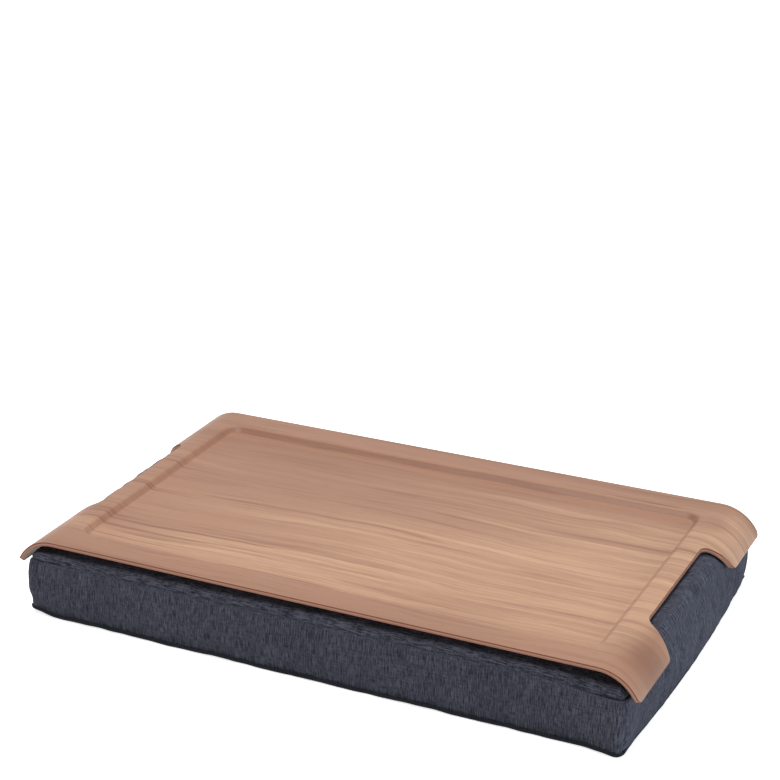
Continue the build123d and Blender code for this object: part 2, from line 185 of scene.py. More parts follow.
def putInScene(name, data, place, looking):
    made = linked(name, data)
    made.location = place
    made.rotation_mode = "QUATERNION"
    made.rotation_quaternion = Vector(looking).to_track_quat("-Z", "Y")
    return made


cameraData = bpy.data.cameras.new("photoCamera")
cameraData.lens, cameraData.sensor_width = camera["lens"], 36
cameraData.clip_start, cameraData.clip_end = camera["clip"]
scene.camera = putInScene("photoCamera", cameraData, camera["place"], camera["looking"])

for name, light in lights.items():
    data = bpy.data.lights.new(name, "AREA")
    data.shape, data.size, data.energy = "DISK", light["size"], light["power"]
    data.color = light["colour"]
    putInScene(name, data, light["place"], Vector(light["aim"]) - Vector(light["place"]))


def seenDirectly(tree):
    path = tree.nodes.new("ShaderNodeLightPath")
    either = calc(tree, "MAXIMUM", path.outputs["Is Camera Ray"], path.outputs["Is Glossy Ray"])
    return calc(tree, "MAXIMUM", either, path.outputs["Is Transmission Ray"])


world = bpy.data.worlds.new("studio")
world.use_nodes = True
worldTree = world.node_tree
background = worldTree.nodes["Background"]
background.inputs["Color"].default_value = (1, 1, 1, 1)
worldStrength = addNode(worldTree, "ShaderNodeMapRange",
                        {"Value": seenDirectly(worldTree), "To Min": worldLight, "To Max": 1.0})
worldTree.links.new(worldStrength.outputs["Result"], background.inputs["Strength"])
scene.world = world
scene.view_settings.view_transform = "Standard"

floorMaterial, floorTree, floorShader = newMaterial(
    "paleFloor", Base_Color=rgb(floorSettings["colour"]), Roughness=0.9, Specular_IOR_Level=0.0)
floorGlow = addNode(floorTree, "ShaderNodeEmission", {"Color": (1, 1, 1, 1)})
glowAmount = calc(floorTree, "MULTIPLY", seenDirectly(floorTree), floorSettings["white"])
floorTree.links.new(glowAmount, floorGlow.inputs["Strength"])
floorSum = addNode(floorTree, "ShaderNodeAddShader",
                   {0: floorShader.outputs[0], 1: floorGlow.outputs[0]})
floorTree.links.new(floorSum.outputs[0], floorTree.nodes["Material Output"].inputs["Surface"])
half, drop = floorSettings["half"], -floorSettings["drop"]
floor = newPiece("paleFloor", [(x * half, y * half, drop)
                               for x, y in ((-1, -1), (1, -1), (1, 1), (-1, 1))],
                 [(0, 1, 2, 3)], floorMaterial, smooth=False)
print("camera, light and floor are in place")


# Walnut ply: the grain follows the sheet round its bends

tray = {
    "bendStart": 0.23616,
    "bendCentre": 0.031,
    "bendMiddleRadius": 0.0348,
    "edgeDot": 0.38,
    "face": {"light": "cca384", "mid": "a97f67", "dark": "7d5441"},
    "back": {"light": "b98e70", "mid": "a57a5e", "dark": "7d543d"},
    "edge": {"light": "bd8f79", "mid": "a3745f", "dark": "84553f"},
    "glueLine": "74402f",
    "underGlue": "875545",
    "coat": 0.05,
    "roughness": (0.40, 0.50),
    "edgeRougher": 0.22,
    "slope": (0.985, 0.80),
    "poreDepth": 0.00012,
}


# Noise scale along the grain and across it, offset, detail and roughness, and the range it shows in
figure = {
    "bands": (1.7, 21.0, 3.1, 2.0, 0.5),
    "rings": (4.0, 88.0, 5.7, 3.0, 0.6, 0.38, 0.62),
    "streaks": (4.4, 150.0, 9.2, 2.5, 0.55, 0.54, 0.68),
    "gathered": (2.0, 14.0, 21.0, 1.0, 0.5, 0.38, 0.62, 0.25, 1.0),
    "dashes": (8.0, 230.0, 26.0, 2.0, 0.6, 0.52, 0.66),
    "clouds": (2.4, 34.0, 33.0, 1.5, 0.5, 0.34, 0.66, 0.35, 1.65),
    "fine": (13.0, 720.0, 12.4, 2.0, 0.5),
    "pores": (95.0, 2300.0, 16.0, 1.0, 0.5, 0.60, 0.72),
    "sway": (4.2, 7.0, 1.5, 0.034),
    "ripple": (17.0, 26.0, 1.0, 0.0055),
}
# How much of each the wood takes on, the range of the bands, and the ramp of painted shade over the
# pressed recess walls, darker towards the back
figureShare = {"bands": (0.36, 0.64), "rings": 0.55, "streaks": 0.75, "dashes": 0.30,
               "fine": 0.30, "pores": 0.30, "edge": 0.4, "pressed": (0.10, 0.13, 0.34, 0.60)}
# Places on the sheet, each a product of ramps: axis, from, to, value before and value after
# Painted light and shade that shifts the bands: painted shade towards the back and the left,
# painted shade on the front right horn and painted light on the back right horn; also darker along
# the front edge
paintedLightAndShade = {
    "towardsBack": [("side", -0.02, 0.13, 0.07, -0.10)],
    "towardsRight": [("run", -0.25, 0.22, -0.17, 0.07)],
    "frontEdge": [("side", -0.155, -0.095, -0.17, 0.0)],
    "rightHorns": [("run", 0.240, 0.262, 0.0, 1.0), ("side", -0.08, 0.08, -0.26, 0.22)],
}
# Painted shade, blended towards the dark wood under cloudy grain: the back, the back strip, the
# left and the steep back right horn; the front right horn takes painted shade together with darker
# streaks of the wood; darker along the front strip
paintedShadeAndDarkerWood = {
    "back": [("side", 0.01, 0.10, 0.0, 0.15)],
    "left": [("run", -0.25, 0.02, 0.11, 0.0)],
    "frontStrip": [("side", -0.16, -0.05, 0.19, 0.03), ("run", -0.26, 0.10, 0.3, 1.0)],
    "backStrip": [("side", 0.125, 0.145, 0.0, 0.16)],
    "frontRightHorn": [("run", 0.225, 0.262, 0.0, 0.36), ("side", -0.06, -0.10, 0.0, 1.0)],
    "backRightHorn": [("run", 0.255, 0.285, 0.0, 0.25), ("side", 0.0, 0.06, 0.0, 1.0)],
}


def followSheet(group):
    # Distance along the sheet round its bends, across it, and how square a face is to it
    x, y, z = addNode(group, "ShaderNodeSeparateXYZ",
                      {0: addNode(group, "ShaderNodeTexCoord").outputs["Object"]}).outputs
    outward, end = calc(group, "ABSOLUTE", x), calc(group, "SIGN", x)
    past = calc(group, "MAXIMUM", calc(group, "SUBTRACT", outward, tray["bendStart"]), 0.0)
    angle = calc(group, "ARCTAN2", past, calc(group, "SUBTRACT", z, tray["bendCentre"]))
    flat = calc(group, "MINIMUM", outward, tray["bendStart"])
    along = times(group, end, calc(group, "MULTIPLY_ADD", angle, tray["bendMiddleRadius"], flat))
    normal = addNode(group, "ShaderNodeSeparateXYZ",
                     {0: addNode(group, "ShaderNodeNewGeometry").outputs["Normal"]})
    across = times(group, end, calc(group, "SINE", angle))
    facing = plus(group, times(group, normal.outputs[0], across),
                  times(group, normal.outputs[2], calc(group, "COSINE", angle)))
    return along, y, calc(group, "ABSOLUTE", facing)


def makeWalnutGroup():
    group, given, made = newGroup(
        "pressedWalnut", "ShaderNodeTree",
        [("Light", "NodeSocketColor", None), ("Mid", "NodeSocketColor", None),
         ("Dark", "NodeSocketColor", None), ("Edge Colour", "NodeSocketColor", None),
         ("Crosswise", "NodeSocketFloat", 0.0), ("Seed", "NodeSocketFloat", 0.0)],
        [("Color", "NodeSocketColor"), ("Roughness", "NodeSocketFloat"),
         ("Height", "NodeSocketFloat")])
    light, mid, dark, edgeColour, crosswise, seed = list(given.outputs)[:6]
    along, y, facing = followSheet(group)
    edge = calc(group, "LESS_THAN", facing, tray["edgeDot"])  # a cut edge, square to the sheet
    # The pressed recess walls, tilted from the sheet, take painted shade
    pressed = times(group, stretch(group, facing, *tray["slope"]),
                    calc(group, "SUBTRACT", 1.0, edge))
    run = addNode(group, "ShaderNodeMix", {0: crosswise, 2: along, 3: y}).outputs[0]
    side = addNode(group, "ShaderNodeMix", {0: crosswise, 2: y, 3: along}).outputs[0]

    swayed = side
    for name in ("sway", "ripple"):
        runScale, sideScale, detail, reach = figure[name]
        wave = noiseAt(group, joinXYZ(group, times(group, run, runScale),
                                      times(group, side, sideScale), seed), detail)
        swayed = calc(group, "MULTIPLY_ADD", calc(group, "SUBTRACT", wave, 0.5), reach, swayed)

    def grain(name):
        runScale, sideScale, offset, detail, roughness, *shown = figure[name]
        vector = joinXYZ(group, times(group, run, runScale), times(group, swayed, sideScale),
                         plus(group, seed, offset))
        found = noiseAt(group, vector, detail, roughness)
        return stretch(group, found, *shown) if shown else found

    def placed(places, total=0.0):
        for ramps in places.values():
            share = 1.0
            for axis, *ramp in ramps:
                share = times(group, share, stretch(group, run if axis == "run" else side, *ramp))
            total = plus(group, total, share)
        return total

    # The bands, shifted by the painted light and shade
    bands = stretch(group, plus(group, placed(paintedLightAndShade), grain("bands")), *figureShare["bands"])
    fine, pores = grain("fine"), grain("pores")

    tone = blendColour(group, bands, mid, light)
    streaks = times(group, grain("streaks"), grain("gathered"))
    for factor, colour in (
            (times(group, grain("rings"), figureShare["rings"]), mid),
            (times(group, streaks, figureShare["streaks"]), dark),
            (times(group, grain("dashes"), figureShare["dashes"]), dark),
            (stretch(group, fine, 0.3, 0.7, 0.0, figureShare["fine"]), mid),
            (times(group, pores, figureShare["pores"]), dark),
            # painted shade by place, with darker wood on the front right horn and the front strip
            (times(group, placed(paintedShadeAndDarkerWood), grain("clouds")), dark),
            # painted shade on the pressed recess walls, darker towards the back
            (times(group, pressed, stretch(group, side, *figureShare["pressed"])), dark)):
        tone = blendColour(group, factor, tone, colour)
    edgeTone = blendColour(group, times(group, fine, figureShare["edge"]), edgeColour, dark)
    group.links.new(blendColour(group, edge, tone, edgeTone), made.inputs["Color"])

    rough = calc(group, "MULTIPLY_ADD", edge, tray["edgeRougher"],
                 stretch(group, fine, 0.2, 0.8, *tray["roughness"]))
    group.links.new(rough, made.inputs["Roughness"])
    height = calc(group, "SUBTRACT", times(group, fine, 0.5), times(group, pores, 0.5))
    group.links.new(height, made.inputs["Height"])
    return group


walnutGroup = makeWalnutGroup()


def woodMaterial(name, colours, edgeColour, crosswise, seed, coat):
    material, tree, shader = newMaterial(name, Coat_Weight=coat, Coat_Roughness=0.32,
                                         Specular_IOR_Level=0.25)
    walnut = placeGroup(tree, walnutGroup, {
        "Light": rgb(colours["light"]), "Mid": rgb(colours["mid"]), "Dark": rgb(colours["dark"]),
        "Edge Colour": rgb(edgeColour), "Crosswise": crosswise, "Seed": seed})
    tree.links.new(walnut.outputs["Color"], shader.inputs["Base Color"])
    tree.links.new(walnut.outputs["Roughness"], shader.inputs["Roughness"])
    addBump(tree, shader, walnut.outputs["Height"], 0.35, tray["poreDepth"])
    return material


def dress(nodeName, material):
    for slot in cadNodes[nodeName].material_slots:
        slot.material = material


for nodeName, name, colours, edgeColour, crosswise, seed, coat in (
        ("face_veneer", "faceWalnut", tray["face"], tray["glueLine"], 0.0, 1.3, tray["coat"]),
        ("back_veneer", "backWalnut", tray["back"], tray["edge"]["mid"], 0.0, 7.9, tray["coat"]),
        ("upper_cross_ply", "upperCrossPly", tray["edge"], tray["underGlue"], 1.0, 4.4, 0.0),
        ("core_ply", "corePly", tray["edge"], tray["edge"]["light"], 0.0, 5.6, 0.0),
        ("lower_cross_ply", "lowerCrossPly", tray["edge"], tray["edge"]["mid"], 1.0, 6.1, 0.0)):
    dress(nodeName, woodMaterial(name, colours, edgeColour, crosswise, seed, coat))
print("the walnut ply has its grain")


# Woven cloth

weaveLook = {
    # Width share, length share, offset, detail and share of the long, short and weft slubs
    "slubs": ((1.0, 1.0, 0.0, 1.0, 0.52), (0.8, 0.35, 4.0, 1.0, 0.36), (9.0, 0.12, 8.0, 0.0, 0.12)),
    "patches": (38.0, 16.0),
    "patchTone": (0.25, 0.75, 0.90, 1.10),
    "slubRange": (0.34, 0.66),
    "slubHeight": 1.2,
    "threadHeight": 0.7,
    "bumpDepth": 0.00025,
    "sheenTint": (0.62, 0.75, 1, 1),
}
# Dark and light yarn, thread, slub width and length, contrast, sheen, bump and pattern source
cloths = {
    "charcoalChambray": ("1a1b22", "5a5b68", 0.0006, 0.0007, 0.012, 0.92, 0.05, 0.55, "uv"),
    "blackTwill": ("141418", "2b2b31", 0.0005, 0.0006, 0.002, 0.7, 0.06, 0.5, "object"),
    "blackTape": ("121215", "25262b", 0.0007, 0.0007, 0.0012, 0.7, 0.05, 0.5, "object"),
    "beadCloth": ("c9c7c0", "e6e4de", 0.0028, 0.003, 0.003, 0.6, 0.0, 0.9, "uv"),
    "whiteLining": ("d9d7d0", "efeee9", 0.0005, 0.0007, 0.003, 0.7, 0.1, 0.3, "uv"),
}
uvName = "cut"


def makeWeaveGroup():
    group, given, made = newGroup(
        "wovenCloth", "ShaderNodeTree",
        [("Vector", "NodeSocketVector", None), ("Thread", "NodeSocketFloat", 0.0006),
         ("Slub Width", "NodeSocketFloat", 0.0009), ("Slub Length", "NodeSocketFloat", 0.009)],
        [("Slubs", "NodeSocketFloat"), ("Patches", "NodeSocketFloat"),
         ("Height", "NodeSocketFloat")])
    split = addNode(group, "ShaderNodeSeparateXYZ", {0: given.outputs["Vector"]})
    u, v, _ = split.outputs
    threads = [calc(group, "DIVIDE", axis, given.outputs["Thread"]) for axis in (u, v)]
    over = calc(group, "PINGPONG", plus(group, *(calc(group, "FLOOR", t) for t in threads)), 1.0)
    ridges = [calc(group, "ABSOLUTE", calc(group, "SINE", times(group, t, math.pi)))
              for t in threads]
    weave = addNode(group, "ShaderNodeMix", {0: over, 2: ridges[0], 3: ridges[1]}).outputs[0]

    mixed = 0.0
    for widthShare, lengthShare, offset, detail, share in weaveLook["slubs"]:
        width = times(group, given.outputs["Slub Width"], widthShare)
        length = times(group, given.outputs["Slub Length"], lengthShare)
        vector = joinXYZ(group, calc(group, "DIVIDE", u, width), calc(group, "DIVIDE", v, length),
                         offset)
        slubs = noiseAt(group, vector, detail, 0.6)
        mixed = calc(group, "MULTIPLY_ADD", slubs, share, mixed)
    group.links.new(stretch(group, mixed, *weaveLook["slubRange"]), made.inputs["Slubs"])
    patchU, patchV = weaveLook["patches"]
    patchVector = joinXYZ(group, times(group, u, patchU), times(group, v, patchV), 2.0)
    group.links.new(noiseAt(group, patchVector, 2.0), made.inputs["Patches"])
    height = calc(group, "MULTIPLY_ADD", mixed, weaveLook["slubHeight"],
                  times(group, weave, weaveLook["threadHeight"]))
    group.links.new(height, made.inputs["Height"])
    return group


weaveGroup = makeWeaveGroup()


def clothMaterial(name):
    dark, light, thread, slubWidth, slubLength, contrast, sheen, bump, source = cloths[name]
    material, tree, shader = newMaterial(
        name, Roughness=0.92, Sheen_Weight=sheen, Sheen_Roughness=0.5,
        Sheen_Tint=weaveLook["sheenTint"], Specular_IOR_Level=0.15)
    if source == "uv":
        vector = addNode(tree, "ShaderNodeUVMap", uv_map=uvName).outputs[0]
    else:
        vector = addNode(tree, "ShaderNodeTexCoord").outputs["Object"]
    cloth = placeGroup(tree, weaveGroup, {"Vector": vector, "Thread": thread,
                                          "Slub Width": slubWidth, "Slub Length": slubLength})
    tone = blendColour(tree, times(tree, cloth.outputs["Slubs"], contrast), rgb(dark), rgb(light))
    patches = stretch(tree, cloth.outputs["Patches"], *weaveLook["patchTone"])
    shade = addNode(tree, "ShaderNodeCombineColor",
                    {0: patches, 1: patches, 2: patches}).outputs[0]
    tone = blendColour(tree, 1.0, tone, shade, "MULTIPLY")
    tree.links.new(tone, shader.inputs["Base Color"])
    addBump(tree, shader, cloth.outputs["Height"], bump, weaveLook["bumpDepth"])
    return material


fabric = {name: clothMaterial(name) for name in cloths}


# The cushion's cover, cut and stuffed

cushion = {
    "halfLengthBase": 0.2604,
    "halfLengthTop": 0.2609,
    "halfWidth": 0.158,
    "seamHeight": 0.0495,
    "endBow": 0.006,
    "endBelly": 0.003,
    "sideBelly": 0.0015,
    "cornerRadius": 0.006,
    "cornerBelly": 0.002,
    "shoulderRun": 0.026,
    "shoulderShape": ((0.60, 1.1), (0.40, 9)),
    "plateau": 0.0619,
    "bendStart": 0.23616,
    "bendCentre": 0.031,
    "endShoulderRadius": 0.0309,
    "dentHalfLength": 0.2310,
    "dentHalfWidth": 0.1298,
    "dentFloor": 0.0568,
    "alongCells": 108,
    "acrossCells": 62,
    "cornerCells": 8,
    "zipHalfLength": 0.220,
    "zipHeight": 0.02475,
    "zipSlotHalf": 0.0038,
    "zipSlotDepth": 0.0013,
    "startInset": 0.0012,
    "cap": 0.0035,
    "seamDepth": 0.0016,
    "endSeamShare": 0.12,
    "notchPuff": {"left": 0.0031, "right": 0.0050},
    "backBand": 0.004,
    "zipEase": (0.014, 0.012),
    "belowSeam": 0.0013,
    "rowsBelowZip": (0.0, 0.0014, 0.003, 0.0062, 0.0100, 0.0140, 0.0178),
    "rowsAboveZip": (0.0322, 0.0362, 0.0402, 0.0438, 0.0468),
    "slotLip": 0.0006,
    "topSink": 0.4,
    "seamEase": 0.125,
    "shoulderCorner": 0.014,
    "shoulderSteps": (0.0, 0.05, 0.12, 0.22, 0.34, 0.47, 0.61, 0.75, 0.88, 1.0),
    "dentSteps": (0.0, 0.35, 0.7, 1.0),
    "dentCorner": 0.0165,
    "dentTighter": 0.5,
    "dentFloorCorner": 0.0135,
    "bottomCells": 13,
    "dentCells": 12,
}


# Corners of the cover that are lifted, pulled out or pressed down, and how far each reaches
corners = {
    "lift": 0.0034,
    "liftReach": 0.034,
    "liftHeight": 0.03,
    "backShare": 0.3,
    "ear": (0.0005, -0.0065),
    "earReach": 0.036,
    "earHeight": 0.04,
    "seamDip": 0.0048,
    "dipAlong": (0.185, 0.072),
    "dipAcross": (0.128, 0.02),
    "dipHeight": 0.02,
}


def lerp(a, b, t):
    return a + (b - a) * t


def smooth(t):
    t = max(0.0, min(1.0, t))
    return t * t * (3 - 2 * t)


def waver(x, y, scale, seed):
    return noise.noise(Vector((x * scale, y * scale, seed)))


def outline(halfX, halfY, bow, radius):
    # Points round the plan, from the front's left end, counterclockwise from above
    across, along, corner = cushion["acrossCells"], cushion["alongCells"], cushion["cornerCells"]
    flatX, flatY = halfX - radius, halfY - radius
    points = []

    def side(start, end, cells, bulge):
        for k in range(cells):
            t = k / cells
            swell = bow * (1 - (2 * t - 1) ** 2)
            points.append((lerp(start[0], end[0], t) + bulge * swell, lerp(start[1], end[1], t)))

    def turn(centre, startAngle):
        for k in range(corner):
            a = math.radians(startAngle + 90 * k / corner)
            points.append((centre[0] + radius * math.cos(a), centre[1] + radius * math.sin(a)))

    side((-flatX, -halfY), (flatX, -halfY), along, 0)
    turn((flatX, -flatY), -90)
    side((halfX, -flatY), (halfX, flatY), across, 1)
    turn((flatX, flatY), 0)
    side((flatX, halfY), (-flatX, halfY), along, 0)
    turn((-flatX, flatY), 90)
    side((-halfX, flatY), (-halfX, -flatY), across, -1)
    turn((-flatX, -flatY), 180)
    return points


def topHeight(x, y):
    # The top panel's height: shoulders on all sides, and a plateau
    c = cushion
    past = max(abs(x) - c["bendStart"], 0)
    overEnd = c["bendCentre"] + math.sqrt(max(c["endShoulderRadius"] ** 2 - past ** 2, 0))
    rise = c["plateau"] - c["seamHeight"]
    outward = min(max(abs(y) - (c["halfWidth"] - c["shoulderRun"]), 0) / c["shoulderRun"], 1)
    fall = sum(share * outward ** power for share, power in c["shoulderShape"])
    overSide = c["plateau"] - rise * fall
    return min(overEnd, overSide, c["plateau"])


def unrolled(x):
    past = max(abs(x) - cushion["bendStart"], 0)
    turned = math.asin(min(past / cushion["endShoulderRadius"], 1))
    length = min(abs(x), cushion["bendStart"]) + turned * cushion["endShoulderRadius"]
    return math.copysign(length, x)


def cornerLift(x, y):
    # The front left corner's bottom edge curls up off the floor, the back ones less
    c = cushion
    away = math.hypot(c["halfLengthBase"] - abs(x), c["halfWidth"] - abs(y))
    share = (1.0 if x < 0 else 0.0) if y < 0 else corners["backShare"]
    return corners["lift"] * share * smooth(1 - away / corners["liftReach"])


def seamDrop(x, y):
    # The top seam sags where the front right horn bears on the corner
    (startX, runX), (startY, runY) = corners["dipAlong"], corners["dipAcross"]
    return corners["seamDip"] * smooth((x - startX) / runX) * smooth((-y - startY) / runY)


def boxingLevel(z, atZip):
    # One level of the upright walls, pulled in a little at the zip's slot
    c, inset = cushion, cushion["startInset"]
    t = z / c["seamHeight"]
    swell = 4 * t * (1 - t)
    length = lerp(c["halfLengthBase"], c["halfLengthTop"], t) + c["endBelly"] * swell - inset
    made = []
    for x, y in outline(length, c["halfWidth"] + c["sideBelly"] * swell - inset,
                        c["endBow"] * (1 - t), c["cornerRadius"] + c["cornerBelly"] * swell):
        if y > c["halfWidth"] - c["backBand"]:
            margin, run = c["zipEase"]
            y += inset * min(1, max(0, (c["zipHalfLength"] + margin - abs(x)) / run))
            if atZip and abs(x) < c["zipHalfLength"]:
                y -= c["zipSlotDepth"]
        made.append((x, y, z))
    return made


def flatLevel(halfX, halfY, share, bow, radius, z):
    # One ring of a flat panel, its share of the way from the middle line to the rim
    y = halfY * share
    x = halfX - halfY * (1 - share)
    corner = min(radius, 0.9 * y) if y else 0
    return [(px, py, z) for px, py in outline(x, max(y, 1e-6), bow, corner)]


def coverLevels():
    # Each level is the plan outline's points with a height, and the name of the panel above it
    c, seam, inset = cushion, cushion["seamHeight"], cushion["startInset"]
    slotLow, slotHigh = c["zipHeight"] - c["zipSlotHalf"], c["zipHeight"] + c["zipSlotHalf"]
    slot = [slotLow + c["slotLip"], c["zipHeight"], slotHigh - c["slotLip"]]
    heights = [*c["rowsBelowZip"], slotLow, *slot, slotHigh, *c["rowsAboveZip"],
               seam - c["belowSeam"]]
    cells = c["bottomCells"]
    levels = [("bottom", flatLevel(c["halfLengthBase"], c["halfWidth"], k / cells,
                                   c["endBow"] * k / cells, c["cornerRadius"], 0.0))
              for k in range(cells)]
    levels += [("boxing", boxingLevel(z, z in slot)) for z in heights]
    # Top panel: over the shoulders, into the dent, then to its middle line
    sunk = c["topSink"] * inset
    outer = outline(c["halfLengthTop"] - inset, c["halfWidth"] - inset, 0, c["cornerRadius"])
    inner = outline(c["bendStart"], c["halfWidth"] - c["shoulderRun"], 0, c["shoulderCorner"])
    for step in c["shoulderSteps"]:
        ring = [(lerp(a[0], b[0], step), lerp(a[1], b[1], step)) for a, b in zip(outer, inner)]
        ease = min(step / c["seamEase"], 1)
        levels.append(("top", [(x, y, lerp(seam, topHeight(x, y) - sunk, ease))
                               for x, y in ring]))
    depth = c["plateau"] - c["dentFloor"]
    for share in c["dentSteps"]:
        ring = outline(c["dentHalfLength"] - depth * share, c["dentHalfWidth"] - depth * share, 0,
                       c["dentCorner"] - c["dentTighter"] * depth * share)
        levels.append(("top", [(x, y, c["plateau"] - sunk - depth * share) for x, y in ring]))
    cells = c["dentCells"]
    levels += [("top", flatLevel(c["dentHalfLength"] - depth, c["dentHalfWidth"] - depth,
                                 1 - k / cells, 0, c["dentFloorCorner"], c["dentFloor"] - sunk))
               for k in range(1, cells + 1)]
    return levels


def perimeterPanels():
    along, across, corner = cushion["alongCells"], cushion["acrossCells"], cushion["cornerCells"]
    half = corner // 2
    return ([0] * (along + half) + [1] * (half + across + half) + [2] * (half + along + half)
            + [3] * (half + across + half) + [0] * half)


# How far apart the panels' cloth lies on the map, so that no pattern runs over a seam
uvApart = {"boxing": 3.0, "top": 20, "bottom": 30}


def buildCover():
    levels = coverLevels()
    count = len(levels[0][1])
    panels = perimeterPanels()
    base = next(points for name, points in levels if name == "boxing")
    lengths = [0.0]
    for i in range(count):
        lengths.append(lengths[-1] + (Vector(base[(i + 1) % count]) - Vector(base[i])).length)

    mesh = bpy.data.meshes.new("coverStart")
    form = bmesh.new()
    uvLayer = form.loops.layers.uv.new(uvName)
    rows = [[form.verts.new(p) for p in points] for _, points in levels]
    for k in range(len(rows) - 1):
        lower, upper = rows[k], rows[k + 1]
        name = levels[k][0]
        for i in range(count):
            j = (i + 1) % count
            face = form.faces.new((lower[i], lower[j], upper[j], upper[i]))
            for loop, station in zip(face.loops, (i, i + 1, i + 1, i)):
                x, y, z = loop.vert.co
                if name == "boxing":
                    loop[uvLayer].uv = (lengths[station] + uvApart[name] * panels[i], z)
                elif name == "top":
                    loop[uvLayer].uv = (y + uvApart[name], unrolled(x))
                else:
                    loop[uvLayer].uv = (y + uvApart[name], x)
            face.smooth = True
    bmesh.ops.remove_doubles(form, verts=rows[0] + rows[-1], dist=2e-5)
    bmesh.ops.dissolve_degenerate(form, edges=form.edges, dist=1e-6)
    bmesh.ops.recalc_face_normals(form, faces=form.faces)
    form.to_mesh(mesh)
    form.free()
    return linked("cushionCover", mesh)


filling = {
    "frames": 20,
    "seamHold": 0.9,
    "zipHold": 0.95,
    "footHeight": 0.0016,
    "seamHalf": 0.0007,
    "roundDent": 0.001,
    "roundZip": (0.002, 0.006),
    "overTop": 0.0005,
    "withinDent": 0.003,
    "cloth": {"quality": 5, "mass": 0.3, "tension_stiffness": 12, "compression_stiffness": 12,
              "shear_stiffness": 6, "bending_stiffness": 0.4, "use_pressure": True,
              "uniform_pressure_force": 4, "shrink_min": -0.012},
}


def heldWeights(cover):
    # How firmly each point is held while the cover fills out
    c, f = cushion, filling
    dentX, dentY = c["dentHalfLength"] + f["roundDent"], c["dentHalfWidth"] + f["roundDent"]
    zipX, zipY = c["zipHalfLength"] + f["roundZip"][0], c["halfWidth"] - f["roundZip"][1]
    held = cover.vertex_groups.new(name="held")
    for vertex in cover.data.vertices:
        co = vertex.co
        weight = 0.0
        aboveSeam = co.z - c["seamHeight"]
        if co.z < f["footHeight"]:
            weight = 1.0
        elif abs(aboveSeam) < f["seamHalf"]:
            weight = f["seamHold"]
        elif aboveSeam > 0 and abs(co.x) < dentX and abs(co.y) < dentY:
            weight = 1.0
        elif aboveSeam < 0 and abs(co.x) < zipX and co.y > zipY:
            weight = f["zipHold"]
        held.add([vertex.index], weight, "REPLACE")
    return held


def fillOut(cover):
    # Cloth simulation: the stuffing presses the cover out between its seams
    start = [v.co.copy() for v in cover.data.vertices]
    held = heldWeights(cover)
    cloth = cover.modifiers.new("fillOut", "CLOTH")
    for key, value in filling["cloth"].items():
        setattr(cloth.settings, key, value)
    cloth.settings.vertex_group_mass = held.name
    cloth.settings.effector_weights.gravity = 0
    cloth.collision_settings.use_collision = False
    cloth.point_cache.frame_start, cloth.point_cache.frame_end = 1, filling["frames"]
    for step in range(filling["frames"]):
        scene.frame_set(step + 1)
    applyAll(cover)
    scene.frame_set(1)
    for vertex, origin in zip(cover.data.vertices, start):
        move = vertex.co - origin
        if move.length > cushion["cap"]:
            move *= cushion["cap"] / move.length
        vertex.co = origin + move


def keepClear(cover):
    # The cover stays off the tray, the floor and the zip
    c, within = cushion, filling["withinDent"]
    for vertex in cover.data.vertices:
        co = vertex.co
        co.z = max(co.z, 0.0)
        if co.z > c["seamHeight"] and abs(co.x) < c["halfLengthTop"] and abs(co.y) < c["halfWidth"]:
            limit = topHeight(co.x, co.y) + filling["overTop"]
            inDent = (abs(co.x) < c["dentHalfLength"] - within
                      and abs(co.y) < c["dentHalfWidth"] - within
                      and co.z < c["plateau"] - within)
            co.z = min(co.z, c["dentFloor"] if inDent else limit)
        co.y = min(co.y, c["halfWidth"] + c["sideBelly"] + 0.0002)


notch = {
    "belowSeam": 0.004,
    "halfAtRoot": 0.069,
    "flare": 0.0145,
    "flareFrom": 15,
    "flareOver": 53,
    "softSides": 0.012,
    "startsAt": (0.2456, 0.0055),
    "endsAt": (62, 24),
}


def puffNotches(cover):
    # The filling presses the cover up into the hand notches, between the horns
    c = cushion
    for vertex in cover.data.vertices:
        co = vertex.co
        past = abs(co.x) - c["bendStart"]
        if past <= 0 or co.z < c["seamHeight"] - notch["belowSeam"]:
            continue
        angle = math.degrees(math.atan2(past, co.z - c["bendCentre"]))
        opened = max(0, min(1, (angle - notch["flareFrom"]) / notch["flareOver"]))
        halfNotch = notch["halfAtRoot"] + notch["flare"] * opened
        across = smooth((halfNotch - abs(co.y)) / notch["softSides"])
        (start, rise), (end, fall) = notch["startsAt"], notch["endsAt"]
        along = smooth((abs(co.x) - start) / rise) * smooth((end - angle) / fall)
        outward = Vector((past * math.copysign(1, co.x), 0, co.z - c["bendCentre"])).normalized()
        puff = c["notchPuff"]["left" if co.x < 0 else "right"]
        vertex.co = co + outward * puff * across * along


def settleCorners(cover):
    # The front right corner pokes out at its foot, the front left one is lifted
    c = cushion
    for vertex in cover.data.vertices:
        co = vertex.co
        away = math.hypot(c["halfLengthBase"] - co.x, c["halfWidth"] + co.y)
        poke = smooth(1 - away / corners["earReach"]) * smooth(1 - co.z / corners["earHeight"])
        co.x += corners["ear"][0] * poke
        co.y += corners["ear"][1] * poke
        co.z += cornerLift(co.x, co.y) * smooth(1 - co.z / corners["liftHeight"])
        near = smooth(1 - abs(co.z - c["seamHeight"]) / corners["dipHeight"])
        co.z -= seamDrop(co.x, co.y) * near


puckers = {
    "seamReach": 0.0016,
    "seamPower": 1.5,
    "endFrom": 0.012,
    "cornerReach": 0.045,
    "deeperAtHorn": 2.0,
    "deeperAtCorner": 0.8,
    "uprightSeam": (0.0011, 0.0024),
    "uprightSpan": (0.002, 0.004),
    "lumpSpan": (0.001, 0.003),
    "lumpFade": 0.010,
    "lumpHeight": 0.0007,
    "lumpScale": (17, 17, 30),
    "puckerScale": 95,
    "low": (0.018, 0.00055),
    "high": (0.014, 0.0005),
    "besideZip": 0.006,
    "calmBesideZip": (0.007, 0.009),
}


